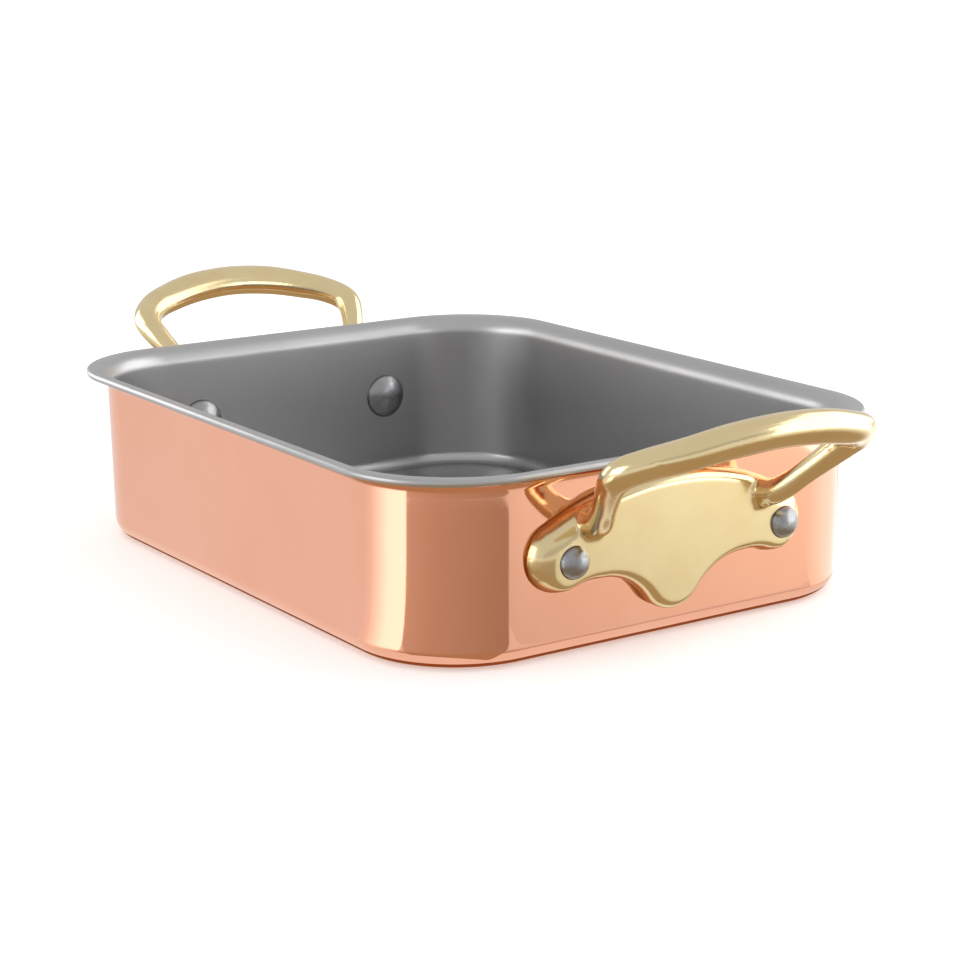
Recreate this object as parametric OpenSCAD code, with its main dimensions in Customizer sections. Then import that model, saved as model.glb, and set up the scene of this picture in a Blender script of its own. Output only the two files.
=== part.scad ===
// Small copper serving pan: a drawn copper shell with a steel lining and two cast brass bail handles,
// each held to an end wall by two steel rivets. Millimetres, Z up, X along the pan.
// The origin is the middle of the flat underside. The front handle is at +X.

/* [Pan] */
// Length over the lip
pan_l = 140; // [130:1:180]
// Width over the lip
pan_w = 110.5; // [104:0.5:150]
// Height to the top of the lip
pan_h = 34.7; // [33.5:0.1:50]
// Corner radius of the lip's trimmed edge, seen from above
rim_corner_r = 22; // [18:0.5:24]
// Corner radius of the walls, seen from above
wall_corner_r = 21.2; // [16:0.1:21.5]
// Radius between the walls and the underside
base_r = 3.7; // [2:0.1:5]
// Lean of the walls, in degrees from upright
draft = 0.9; // [0.3:0.1:3]

/* [Lip] */
// How far the lip stands out from the walls
lip_w = 3.3; // [2.6:0.1:5]
// Radius of the bend under the lip
lip_bend_r = 2.3; // [1.4:0.1:2.5]

/* [Sheet] */
// Thickness of the copper
copper_t = 1; // [0.8:0.1:1.4]
// Thickness of the steel lining
steel_t = 0.2; // [0.15:0.05:0.4]

/* [Handle plate] */
// Thickness of the plate
plate_t = 4; // [3:0.1:5]
// Width of the bevel round the plate's front, seen from the front
edge_w = 1.5; // [0.5:0.1:2]
// Depth of that bevel
edge_depth = 2.2; // [1:0.1:2.5]
// Radius of the lobes
lobe_r = 6.4; // [5.8:0.1:7]
// How far the lobes' centres stand outside the rivets
lobe_out = 0.3; // [0:0.1:1]
// How far the lobes' centres stand above the rivets
lobe_up = 0.4; // [0:0.1:1]
// Radius of the tongue below
tongue_r = 6.3; // [5:0.1:7]
// From the start of the wall's bottom round up to the tongue
tongue_gap = 2.1; // [1:0.1:3]
// Radius of the hollow between a lobe and the tongue
notch_r = 13; // [10:0.5:18]
// Radius of the arch on top
arch_r = 58; // [50:1:80]
// From the top of the arch up to the start of the lip's bend
arch_gap = 0.5; // [0.3:0.1:2]
// From the rivets in to the ends of the arch
arch_in = 0.8; // [0:0.1:3]
// Direction in which the shoulders leave the lobes, in degrees from level
shoulder_angle = 60; // [50:1:70]
// How far the casting stands to its own left of the middle between the rivets
cast_off = 0.8; // [0:0.1:1]

/* [Bail] */
// From the wall to the middle of the bar
bail_reach = 29.2; // [24:0.1:40]
// Height of the middle of the bar
bail_top = 43.2; // [40:0.1:50]
// How far the bends stand outside the rivets, at their centre line
bail_out = 2.2; // [1:0.1:5]
// From the rivets up to the roots on the plate
root_up = 6.3; // [6:0.1:7.5]
// Width of the bar, across its oval section
bar_w = 7.4; // [6:0.1:9]
// Thickness of the bar
bar_t = 5.8; // [5:0.1:7]
// Thickness of the legs
leg_d = 4.2; // [3.6:0.1:5]
// Thickness of the roots, where the legs flare into the plate
root_d = 6; // [5:0.1:8]

/* [Rivets] */
// From the heads inside to where the round corners begin
corner_gap = 2.65; // [1:0.05:6]
// From the rivets up to the top of the arch
rivet_drop = 12.5; // [11:0.1:13.5]
// Diameter of the shank
shank_d = 4; // [3:0.1:4.6]
// Diameter of the head outside
outer_head_d = 6.1; // [5.4:0.1:7]
// Height of the head outside
outer_head_h = 2.4; // [1.2:0.1:3]
// Diameter of the head inside the pan
inner_head_d = 9.6; // [7:0.1:11]
// Height of the head inside the pan
inner_head_h = 2.4; // [1.5:0.1:3]
// Gap between the shank and its holes, on the radius
rivet_gap = 0.05; // [0.02:0.01:0.1]

/* [Hidden] */

// Overrun of every cut past the faces it goes through
cut = 1;
$fn = 64;

sheet_t = copper_t + steel_t;

// Half the length and half the width over the walls, at the height of the lip
wall_x = pan_l / 2 - lip_w;
wall_y = pan_w / 2 - lip_w;

// Centres that the corners turn about
turn_x = wall_x - wall_corner_r;
turn_y = wall_y - wall_corner_r;

// Steps of each round stretch of the wall's section
ARC_STEPS = 10;

// The wall's section, seen along the rim: X outwards from the corner's centre, Y up.
// A face at depth t lies t inside the copper's outer face, all the way round.
low_c = [wall_corner_r - (base_r + (pan_h - base_r) * sin(draft)) / cos(draft), base_r];
lip_z = pan_h - sheet_t - lip_bend_r;
lip_c = [wall_corner_r + (lip_bend_r + (lip_z - pan_h) * sin(draft)) / cos(draft), lip_z];
// The sheet runs on past the lip's outline before it is trimmed
lip_end = (wall_corner_r + lip_w) * sqrt(2) + cut;

function arc(centre, r, from, to) =
    [for (i = [0:ARC_STEPS]) let (a = from + (to - from) * i / ARC_STEPS)
        centre + r * [cos(a), sin(a)]];

// Face at depth t, from the middle of the floor to past the end of the lip
function face(t) = concat(
    [[0, t]],
    arc(low_c, base_r - t, -90, -draft),
    arc(lip_c, lip_bend_r + t, 180 - draft, 90),
    [[lip_end, pan_h - sheet_t + t]]);

function backwards(points) = [for (i = [len(points) - 1:-1:0]) points[i]];

module section(from, to) {
    polygon(concat(face(from), backwards(face(to))));
}

// One straight wall: half_run is half its length and turn is its distance from the middle
module straight(half_run, turn, from, to) {
    translate([turn, half_run, 0])
        rotate([90, 0, 0])
            linear_extrude(half_run * 2)
                section(from, to);
}

// The drawn sheet between two depths, before its lip is trimmed
module drawn(from, to) {
    for (side = [0, 180])
        rotate([0, 0, side]) {
            straight(turn_y, turn_x, from, to);
            rotate([0, 0, 90])
                straight(turn_x, turn_y, from, to);
            translate([turn_x, turn_y, 0])
                rotate_extrude(angle = 90)
                    section(from, to);
            translate([-turn_x, turn_y, 0])
                rotate([0, 0, 90])
                    rotate_extrude(angle = 90)
                        section(from, to);
        }
    translate([-turn_x, -turn_y, from])
        cube([turn_x * 2, turn_y * 2, to - from]);
}

// Upright block with the lip's outline, drawn in by inset, from height z upwards
module rim_block(inset, z, height) {
    r = rim_corner_r - inset;
    x = pan_l / 2 - rim_corner_r;
    y = pan_w / 2 - rim_corner_r;
    translate([0, 0, z])
        linear_extrude(height)
            union() {
                square([(x + r) * 2, y * 2], center = true);
                square([x * 2, (y + r) * 2], center = true);
                for (sx = [-1, 1], sy = [-1, 1])
                    translate([sx * x, sy * y])
                        circle(r);
            }
}

// Puts its children on an end wall: X straight out of the wall's face, Z up the wall
module on_end_wall(turned) {
    rotate([0, 0, turned ? 180 : 0])
        translate([wall_x - pan_h * tan(draft), 0, 0])
            rotate([0, draft, 0])
                children();
}

// Rod square to the wall, for shanks and their holes, between two distances from its face
module wall_rod(r, from, to) {
    translate([from, 0, 0])
        rotate([0, 90, 0])
            cylinder(r = r, h = to - from);
}

// The four rivet holes through the sheet
module rivet_holes() {
    for (turned = [false, true], hand = [-1, 1])
        on_end_wall(turned)
            translate([0, hand * rivet_y, rivet_z])
                wall_rod(shank_d / 2 + rivet_gap, -sheet_t - cut, cut);
}

module copper_shell() {
    color("#d98b66")
        difference() {
            intersection() {
                drawn(0, copper_t);
                rim_block(steel_t, -cut, pan_h + cut * 2);
            }
            rivet_holes();
        }
}

// The lining covers the inside and the top of the lip, and is turned down over the copper's edge
module steel_lining() {
    color("#9a9a9c")
        difference() {
            union() {
                intersection() {
                    drawn(copper_t, sheet_t);
                    rim_block(0, -cut, pan_h + cut * 2);
                }
                difference() {
                    rim_block(0, pan_h - sheet_t, sheet_t);
                    rim_block(steel_t, pan_h - sheet_t - cut, sheet_t + cut * 2);
                }
            }
            rivet_holes();
        }
}

// The handle lies between the round corners and between the lip and the bottom round
rivet_y = turn_y - corner_gap - inner_head_d / 2;
arch_top = lip_z - arch_gap;
rivet_z = arch_top - rivet_drop;

// Outline of the handle's plate: X across the pan, Y up the wall
lobe_c = [rivet_y + lobe_out, rivet_z + lobe_up];
tongue_z = base_r + tongue_gap + tongue_r;
arch_w = (rivet_y - arch_in) * 2;
arch_edge_z = arch_top - arch_r + sqrt(arch_r * arch_r - arch_w * arch_w / 4);

// Where two rounds a and b, of radii ra and rb, are touched from below by a round of radius r
function touching(a, ra, b, rb, r) =
    let (d = norm(b - a), p = ra + r, q = rb + r)
    let (along = (d * d + p * p - q * q) / (2 * d))
    let (across = sqrt(p * p - along * along), u = (b - a) / d)
    a + along * u + across * [u[1], -u[0]];

notch_c = touching([0, tongue_z], tongue_r, lobe_c, lobe_r, notch_r);

// Corners of the straight shoulder between a lobe and the arch, drawn in by inset
function shoulder_low(inset) = lobe_c + (lobe_r - inset) * [cos(shoulder_angle), sin(shoulder_angle)];
function shoulder_high(inset) =
    [0, arch_top - arch_r] + (arch_r - inset) / arch_r * [arch_w / 2, arch_edge_z - arch_top + arch_r];

function other_hand(p) = [-p[0], p[1]];
function upper_body(inset) = [
    lobe_c, shoulder_low(inset), shoulder_high(inset),
    other_hand(shoulder_high(inset)), other_hand(shoulder_low(inset)), other_hand(lobe_c)];
function at_depth(points, z) = [for (p = points) [p[0], p[1], z]];

// One layer of the plate, whose edge is drawn in by inset at its front
module plate_layer(z, depth, inset) {
    front = z + depth;
    difference() {
        union() {
            for (hand = [-1, 1])
                translate([hand * lobe_c[0], lobe_c[1], z])
                    cylinder(r1 = lobe_r, r2 = lobe_r - inset, h = depth);
            translate([0, tongue_z, z])
                cylinder(r1 = tongue_r, r2 = tongue_r - inset, h = depth);
            translate([0, 0, z])
                linear_extrude(depth)
                    polygon([[0, tongue_z], notch_c, lobe_c, other_hand(lobe_c), other_hand(notch_c)]);
            polyhedron(
                points = concat(at_depth(upper_body(0), z), at_depth(upper_body(inset), front)),
                faces = concat(
                    [[0, 1, 2, 3, 4, 5], [11, 10, 9, 8, 7, 6]],
                    [for (i = [0:5]) let (j = (i + 1) % 6)
                        each [[i, i + 6, j], [j, i + 6, j + 6]]]));
            intersection() {
                translate([0, arch_top - arch_r, z])
                    cylinder(r1 = arch_r, r2 = arch_r - inset, h = depth);
                translate([-arch_w / 2, arch_edge_z - edge_w * 2, z])
                    cube([arch_w, arch_top, depth]);
            }
        }
        for (hand = [-1, 1])
            translate([hand * notch_c[0], notch_c[1], z])
                cylinder(r1 = notch_r, r2 = notch_r + inset, h = depth);
    }
}

module plate() {
    plate_layer(0, plate_t - edge_depth, 0);
    plate_layer(plate_t - edge_depth, edge_depth, edge_w);
}

// Half of the bail's centre line, from the root to the middle of the bar. Each row has its shares
// of the reach, of half the span and of the rise, then how far the section has flared to the
// root's and how far it has widened to the bar's.
BAIL_SHARES = [
    [0, 0.73, 0, 1, 0],
    [0.18, 0.775, 0.05, 0.2, 0],
    [0.36, 0.87, 0.275, 0, 0],
    [0.535, 0.975, 0.54, 0, 0.1],
    [0.66, 1, 0.71, 0, 0.3],
    [0.8, 0.885, 0.805, 0, 0.6],
    [0.905, 0.68, 0.88, 0, 0.85],
    [0.975, 0.37, 0.965, 0, 1],
    [1, 0, 1, 0, 1]];
BAIL_SIDES = 14;
BAIL_STEPS = 3;

// The roots start half-way into the plate
root_x = plate_t / 2;
root_z = rivet_z + root_up;
bail_rise = bail_top - root_z;
bail_span = (rivet_y + bail_out) * 2;

// A knot is a point of the centre line, then the width and thickness of the section there
function knot(row, hand) = [
    root_x + row[0] * (bail_reach - root_x), hand * row[1] * bail_span / 2, root_z + row[2] * bail_rise,
    leg_d + row[3] * (root_d - leg_d) + row[4] * (bar_w - leg_d),
    leg_d + row[3] * (root_d - leg_d) + row[4] * (bar_t - leg_d)];

bail_knots = concat(
    [for (row = BAIL_SHARES) knot(row, 1)],
    [for (i = [len(BAIL_SHARES) - 2:-1:0]) knot(BAIL_SHARES[i], -1)]);

// Smooth curve through the knots, f of the way from knot i to the next
function knot_at(i) = bail_knots[max(0, min(len(bail_knots) - 1, i))];
function along_bail(i, f) =
    let (a = knot_at(i - 1), b = knot_at(i), c = knot_at(i + 1), d = knot_at(i + 2))
    b + f / 2 * (c - a + f * (2 * a - 5 * b + 4 * c - d + f * (3 * b - a - 3 * c + d)));

bail_line = concat(
    [for (i = [0:len(bail_knots) - 2], s = [0:BAIL_STEPS - 1]) along_bail(i, s / BAIL_STEPS)],
    [bail_knots[len(bail_knots) - 1]]);

function place(k) = [k[0], k[1], k[2]];
function unit(v) = v / norm(v);

// Square to the tilted plane that the bail lies in
bail_square = unit([-bail_rise, 0, bail_reach - root_x]);

function bail_ring(i) =
    let (last = len(bail_line) - 1, k = bail_line[i])
    let (way = unit(place(bail_line[min(last, i + 1)]) - place(bail_line[max(0, i - 1)])))
    let (up = unit(bail_square - (bail_square * way) * way), across = cross(way, up))
    [for (s = [0:BAIL_SIDES - 1]) let (a = 360 * s / BAIL_SIDES)
        place(k) + k[3] / 2 * cos(a) * across + k[4] / 2 * sin(a) * up];

module bail() {
    rings = len(bail_line);
    n = BAIL_SIDES;
    polyhedron(
        points = [for (i = [0:rings - 1]) each bail_ring(i)],
        faces = concat(
            [[for (s = [n - 1:-1:0]) s]],
            [for (i = [0:rings - 2], s = [0:n - 1])
                each [[i * n + s, i * n + (s + 1) % n, (i + 1) * n + s],
                    [i * n + (s + 1) % n, (i + 1) * n + (s + 1) % n, (i + 1) * n + s]]],
            [[for (s = [0:n - 1]) (rings - 1) * n + s]]),
        convexity = 4);
}

// Plate and bail are one casting
module handle(turned) {
    color("#d9c07c")
        on_end_wall(turned)
            difference() {
                translate([0, -cast_off, 0]) {
                    rotate([90, 0, 90])
                        plate();
                    bail();
                }
                for (hand = [-1, 1])
                    translate([0, hand * rivet_y, rivet_z])
                        wall_rod(shank_d / 2 + rivet_gap, -cut, plate_t + cut);
            }
}

module front_handle() {
    handle(false);
}

module rear_handle() {
    handle(true);
}

// Domed head that stands on the plane X = 0 towards +X
module dome(d, h) {
    r = (d * d / 4 + h * h) / (2 * h);
    rotate([0, 90, 0])
        rotate_extrude()
            intersection() {
                translate([0, h - r])
                    circle(r);
                square([d, h + cut]);
            }
}

module rivet(turned, hand) {
    color("#8e9094")
        on_end_wall(turned)
            translate([0, hand * rivet_y, rivet_z]) {
                wall_rod(shank_d / 2, -sheet_t, plate_t);
                translate([plate_t, 0, 0])
                    dome(outer_head_d, outer_head_h);
                translate([-sheet_t, 0, 0])
                    mirror([1, 0, 0])
                        dome(inner_head_d, inner_head_h);
            }
}

module front_left_rivet() {
    rivet(false, -1);
}

module front_right_rivet() {
    rivet(false, 1);
}

module rear_left_rivet() {
    rivet(true, -1);
}

module rear_right_rivet() {
    rivet(true, 1);
}

copper_shell();
steel_lining();
front_handle();
rear_handle();
front_left_rivet();
front_right_rivet();
rear_left_rivet();
rear_right_rivet();
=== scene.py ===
import math

import bmesh
import bpy
from mathutils import Matrix, Vector


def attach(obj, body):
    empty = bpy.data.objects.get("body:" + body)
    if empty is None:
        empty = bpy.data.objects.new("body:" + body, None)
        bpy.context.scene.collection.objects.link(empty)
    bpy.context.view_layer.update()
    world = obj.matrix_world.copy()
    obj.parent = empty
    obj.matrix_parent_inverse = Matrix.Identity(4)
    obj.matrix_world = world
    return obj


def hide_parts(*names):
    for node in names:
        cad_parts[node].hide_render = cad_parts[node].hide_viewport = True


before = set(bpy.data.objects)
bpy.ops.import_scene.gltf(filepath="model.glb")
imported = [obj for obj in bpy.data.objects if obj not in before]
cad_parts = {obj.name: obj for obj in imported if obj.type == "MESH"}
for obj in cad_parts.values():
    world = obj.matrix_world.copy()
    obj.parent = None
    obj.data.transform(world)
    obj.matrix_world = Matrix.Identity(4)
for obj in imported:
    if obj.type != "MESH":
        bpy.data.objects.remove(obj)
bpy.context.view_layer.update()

# Body of the pan: one sheet of copper a millimetre thick, drawn over a block into a flat floor
# and four slightly leaning walls with large round corners. Its lip flares outwards and is trimmed,
# and the outside is buffed to a mirror.
mm = 0.001
pan_length = 140 * mm
pan_width = 110.5 * mm
pan_height = 34.7 * mm
wall_corner = 21.2 * mm
rim_corner = 22 * mm
bottom_round = 3.7 * mm
wall_lean = math.radians(0.9)
lip_width = 3.3 * mm
lip_bend = 2.3 * mm
copper_thick = 1 * mm
steel_thick = 0.2 * mm
sheet_thick = copper_thick + steel_thick
hem_room = 0.4 * mm
corner_x = pan_length / 2 - lip_width - wall_corner
corner_y = pan_width / 2 - lip_width - wall_corner
CORNER_STEPS = 36
BEND_STEPS = 14
sheet_crease = math.radians(35)

# Rings of faces that hold the flats flat: at shares of the walls' height, in from the floor's edge,
# and cuts across the sides, away from the corners
WALL_RINGS = (0.03, 0.35, 0.65, 0.97)
floor_rings = (0.8 * mm, 3 * mm)
side_cuts = (1 * mm, 6 * mm)
lip_ring = 0.3 * mm

# How far out from a corner's own centre the lip's bend and the floor's round edge have their middles
lip_flat = wall_corner + (lip_bend - (sheet_thick + lip_bend) * math.sin(wall_lean)) / math.cos(wall_lean)
bottom_centre = wall_corner - (
    bottom_round + (pan_height - bottom_round) * math.sin(wall_lean)) / math.cos(wall_lean)
lip_join = lip_flat + lip_ring


def bend(centre, height, radius, start, end):
    """Points round a bend of the sheet: how far out from a corner's centre, and how high."""
    turns = [math.radians(start + (end - start) * i / BEND_STEPS) for i in range(BEND_STEPS + 1)]
    return [(centre + radius * math.cos(a), height + radius * math.sin(a)) for a in turns]


def pressed_rings(depth):
    """The sheet's section from the lip to the floor, on the face that lies depth inside the copper's."""
    lean = math.degrees(wall_lean)
    lip_height = pan_height - sheet_thick - lip_bend
    upper = bend(lip_flat, lip_height, lip_bend + depth, 90, 180 - lean)
    lower = bend(bottom_centre, bottom_round, bottom_round - depth, -lean, -90)
    wall = [
        tuple(a + (b - a) * share for a, b in zip(upper[-1], lower[0]))
        for share in WALL_RINGS]
    floor = [(lower[-1][0] - inward, lower[-1][1]) for inward in floor_rings]
    return [(lip_join, pan_height - sheet_thick + depth)] + upper + wall + lower + floor


def add_round_face(half_length, half_width, corner, height):
    """Adds a flat face with round corners to the piece being edited, and leaves it selected."""
    bpy.ops.mesh.select_mode(type="VERT")
    bpy.ops.mesh.select_all(action="DESELECT")
    bpy.ops.mesh.primitive_plane_add(size=1, location=(0, 0, height))
    bpy.ops.transform.resize(
        value=(half_length * 2, half_width * 2, 1), center_override=(0, 0, height))
    bpy.ops.mesh.bevel(
        offset=corner, segments=CORNER_STEPS, affect="VERTICES", clamp_overlap=False)


def select_edges(piece, wanted):
    """Selects the open edges of the piece being edited whose two ends are both wanted."""
    bpy.ops.mesh.select_mode(type="EDGE")
    bpy.ops.mesh.select_all(action="DESELECT")
    shape = bmesh.from_edit_mesh(piece.data)
    for edge in shape.edges:
        edge.select = len(edge.link_faces) < 2 and all(wanted(end.co) for end in edge.verts)
    bmesh.update_edit_mesh(piece.data)


def select_points(points, wanted):
    """Of these points of the piece being edited, selects those that are wanted, and no others."""
    bpy.ops.mesh.select_mode(type="VERT")
    bpy.ops.mesh.select_all(action="DESELECT")
    for point in points:
        point.select = wanted(point.co)
    bpy.context.object.data.update()
    bmesh.from_edit_mesh(bpy.context.object.data).select_flush(True)
    bmesh.update_edit_mesh(bpy.context.object.data)


def press_sheet(piece, depth):
    """From the trimmed lip inwards: brings its corners in line with the walls', then insets down."""
    rings = pressed_rings(depth)
    shape = bmesh.from_edit_mesh(piece.data)
    lip = max(shape.faces, key=lambda face: len(face.verts))
    bpy.ops.mesh.inset(thickness=max(point.co.x for point in lip.verts) - corner_x - lip_join)
    trimmed_x = pan_length / 2 - rim_corner
    trimmed_y = pan_width / 2 - rim_corner
    grow = lip_join / (corner_x + lip_join - trimmed_x)
    for side_x in (-1, 1):
        for side_y in (-1, 1):
            shape = bmesh.from_edit_mesh(piece.data)
            lip = max(shape.faces, key=lambda face: len(face.verts))
            select_points(lip.verts, lambda place: place.x * side_x > 0 and place.y * side_y > 0)
            bpy.ops.transform.resize(
                value=(grow, grow, 1), center_override=(side_x * trimmed_x, side_y * trimmed_y, 0))
            bpy.ops.transform.translate(
                value=(side_x * (corner_x - trimmed_x), side_y * (corner_y - trimmed_y), 0))
    shape = bmesh.from_edit_mesh(piece.data)
    lip = max(shape.faces, key=lambda face: len(face.verts))
    select_points(lip.verts, lambda place: True)
    for (out, height), (next_out, next_height) in zip(rings, rings[1:]):
        bpy.ops.mesh.inset(thickness=out - next_out, depth=next_height - height)
    for side in (-1, 1):
        for near in side_cuts:
            bpy.ops.mesh.select_all(action="SELECT")
            bpy.ops.mesh.bisect(plane_co=(side * (corner_x - near), 0, 0), plane_no=(1, 0, 0))
            bpy.ops.mesh.select_all(action="SELECT")
            bpy.ops.mesh.bisect(plane_co=(0, side * (corner_y - near), 0), plane_no=(0, 1, 0))


def face_way(piece, up):
    """Turns the skin of the piece being edited so that its floor faces up, or down."""
    bpy.ops.mesh.select_all(action="SELECT")
    bpy.ops.mesh.normals_make_consistent(inside=False)
    shape = bmesh.from_edit_mesh(piece.data)
    floor = min(shape.faces, key=lambda face: face.calc_center_median().z)
    if (floor.normal.z > 0) != up:
        bpy.ops.mesh.flip_normals()


def finish_with(piece, kind, **settings):
    """Adds a modifier to a piece and applies it."""
    bpy.ops.object.select_all(action="DESELECT")
    piece.select_set(True)
    bpy.context.view_layer.objects.active = piece
    bpy.ops.object.modifier_add(type=kind)
    modifier = piece.modifiers[-1]
    for setting, value in settings.items():
        setattr(modifier, setting, value)
    bpy.ops.object.modifier_apply(modifier=modifier.name)


bpy.ops.object.select_all(action="DESELECT")
bpy.ops.mesh.primitive_plane_add(size=1)
copper_body = bpy.context.object
copper_body.name = "copper_body"
bpy.ops.object.mode_set(mode="EDIT")
bpy.ops.mesh.delete(type="VERT")
add_round_face(
    pan_length / 2 - hem_room, pan_width / 2 - hem_room, rim_corner - hem_room, pan_height - sheet_thick)
press_sheet(copper_body, 0)
face_way(copper_body, up=False)
bpy.ops.object.mode_set(mode="OBJECT")
finish_with(copper_body, "SOLIDIFY", thickness=copper_thick, offset=-1, use_even_offset=True)
bpy.ops.object.shade_smooth_by_angle(angle=sheet_crease)


def new_group(name, inputs, outputs):
    """A node group with named inputs, each with its default, and named outputs."""
    group = bpy.data.node_groups.new(name, "ShaderNodeTree")
    for label, (kind, value) in inputs.items():
        socket = group.interface.new_socket(label, in_out="INPUT", socket_type=kind)
        socket.default_value = value
    for label, kind in outputs.items():
        group.interface.new_socket(label, in_out="OUTPUT", socket_type=kind)
    return group


def add_node(tree, kind, x, y, settings=None, **values):
    """Adds a node at a place on the sheet, sets what it is told, and links what comes from another."""
    node = tree.nodes.new(kind)
    node.location = (x, y)
    for setting, value in (settings or {}).items():
        setattr(node, setting, value)
    for label, value in values.items():
        socket = node.inputs[label.replace("_", " ")]
        if isinstance(value, bpy.types.NodeSocket):
            tree.links.new(value, socket)
        else:
            socket.default_value = value
    return node


def maths(tree, operation, x, y, first, second):
    """A Math node with its two numbers or links."""
    node = add_node(tree, "ShaderNodeMath", x, y, {"operation": operation})
    for socket, value in zip(node.inputs, (first, second)):
        if isinstance(value, bpy.types.NodeSocket):
            tree.links.new(value, socket)
        else:
            socket.default_value = value
    return node.outputs[0]


def blend_colours(tree, x, y, share, first, second):
    """A Mix node between two colours, by a link."""
    node = add_node(tree, "ShaderNodeMix", x, y, {"data_type": "RGBA"})
    tree.links.new(share, node.inputs[0])
    node.inputs[6].default_value = (*first, 1)
    node.inputs[7].default_value = (*second, 1)
    return node.outputs[2]


def spread(tree, x, y, value, low, high, new_low, new_high):
    """A Map Range node from one range to another."""
    return add_node(
        tree, "ShaderNodeMapRange", x, y, Value=value, From_Min=low, From_Max=high,
        To_Min=new_low, To_Max=new_high).outputs[0]


# Marks that a buffing wheel and use leave on metal: hairlines along the buffing, cloudy patches, and
# the slight waves of a beaten or pressed surface
buffing = new_group(
    "buffing marks",
    {"Stretch": ("NodeSocketVector", (40, 40, 900)), "Patch size": ("NodeSocketFloat", 45)},
    {"Hairlines": "NodeSocketFloat", "Patches": "NodeSocketFloat", "Waves": "NodeSocketFloat"})
buffing_in = add_node(buffing, "NodeGroupInput", -900, 0)
buffing_place = add_node(buffing, "ShaderNodeTexCoord", -900, 250).outputs["Object"]
buffing_run = add_node(
    buffing, "ShaderNodeMapping", -650, 250,
    Vector=buffing_place, Scale=buffing_in.outputs["Stretch"]).outputs[0]
hairlines = add_node(
    buffing, "ShaderNodeTexNoise", -400, 250,
    Vector=buffing_run, Scale=6.0, Detail=6.0, Roughness=0.6).outputs[0]
patches = add_node(
    buffing, "ShaderNodeTexNoise", -400, -50,
    Vector=buffing_place, Scale=buffing_in.outputs["Patch size"], Detail=4.0, Roughness=0.55).outputs[0]
waves = add_node(
    buffing, "ShaderNodeTexNoise", -400, -350,
    Vector=buffing_place, Scale=28.0, Detail=1.0, Roughness=0.4).outputs[0]
buffing_out = add_node(buffing, "NodeGroupOutput", 0, 0)
buffing.links.new(hairlines, buffing_out.inputs["Hairlines"])
buffing.links.new(spread(buffing, -200, -50, patches, 0.35, 0.65, 0.0, 1.0), buffing_out.inputs["Patches"])
buffing.links.new(waves, buffing_out.inputs["Waves"])


def new_metal(name, stretch, patch_size):
    """A material whose buffing marks are ready to be linked. Returns it, its tree, shader and marks."""
    material = bpy.data.materials.new(name)
    material.use_nodes = True
    tree = material.node_tree
    shader = tree.nodes["Principled BSDF"]
    shader.location = (700, 0)
    shader.inputs["Metallic"].default_value = 1
    tree.nodes["Material Output"].location = (1000, 0)
    marks = add_node(tree, "ShaderNodeGroup", -600, 0, {"node_tree": buffing}, Patch_size=patch_size)
    marks.inputs["Stretch"].default_value = stretch
    return material, tree, shader, marks


mirror_copper, tree, shader, marks = new_metal("mirror copper", stretch=(60, 60, 700), patch_size=38.0)
tree.links.new(
    blend_colours(tree, 200, 200, marks.outputs["Patches"], (0.925, 0.47, 0.325), (0.90, 0.445, 0.30)),
    shader.inputs["Base Color"])
copper_haze = maths(
    tree, "ADD", 200, -50,
    spread(tree, 0, -50, marks.outputs["Patches"], 0.0, 1.0, 0.045, 0.07),
    spread(tree, 0, -300, marks.outputs["Hairlines"], 0.3, 0.7, 0.0, 0.025))
tree.links.new(copper_haze, shader.inputs["Roughness"])
copper_waves = add_node(
    tree, "ShaderNodeBump", 200, -500, Height=marks.outputs["Waves"], Strength=0.07, Distance=0.0006)
copper_lines = add_node(
    tree, "ShaderNodeBump", 450, -500, Height=marks.outputs["Hairlines"],
    Normal=copper_waves.outputs[0], Strength=0.02, Distance=0.0001)
tree.links.new(copper_lines.outputs[0], shader.inputs["Normal"])

copper_body.data.materials.append(mirror_copper)
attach(copper_body, "root")
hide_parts("copper_shell")

# Lining: a thin skin of stainless steel that is rolled onto the copper before the pan is drawn.
# It covers the inside and the top of the lip and is turned down over the copper's edge. It has
# a satin finish from a fine belt that ran round the pan.
hem_round = 0.6 * mm
hem_curl = 0.15 * mm
HEM_STEPS = 6
CURL_SHARES = (0.2, 0.35, 0.45)
floor_end = 1.4 * mm
wall_start = 2.6 * mm
rubbed_start = 3 * mm
rubbed_end = 7 * mm
steel_tone = 0.495, 0.49, 0.49

bpy.ops.object.select_all(action="DESELECT")
bpy.ops.mesh.primitive_plane_add(size=1)
lining = bpy.context.object
lining.name = "steel_lining_skin"
bpy.ops.object.mode_set(mode="EDIT")
bpy.ops.mesh.delete(type="VERT")
add_round_face(pan_length / 2, pan_width / 2, rim_corner, pan_height - hem_round)
for step in range(HEM_STEPS):
    before = math.radians(90 * step / HEM_STEPS)
    after = math.radians(90 * (step + 1) / HEM_STEPS)
    bpy.ops.mesh.inset(
        thickness=hem_round * (math.cos(before) - math.cos(after)),
        depth=hem_round * (math.sin(after) - math.sin(before)))
press_sheet(lining, sheet_thick)
select_edges(lining, lambda place: True)
for share in CURL_SHARES:
    curl = share * hem_curl
    bpy.ops.mesh.extrude_region_move(
        TRANSFORM_OT_translate={"value": (0, 0, (hem_round - sheet_thick) / len(CURL_SHARES))})
    bpy.ops.transform.resize(
        value=(1 - curl * 2 / pan_length, 1 - curl * 2 / pan_width, 1), center_override=(0, 0, 0))
face_way(lining, up=True)
bpy.ops.object.mode_set(mode="OBJECT")
finish_with(lining, "SOLIDIFY", thickness=steel_thick, offset=-1, use_even_offset=True)
bpy.ops.object.shade_smooth_by_angle(angle=sheet_crease)

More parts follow.
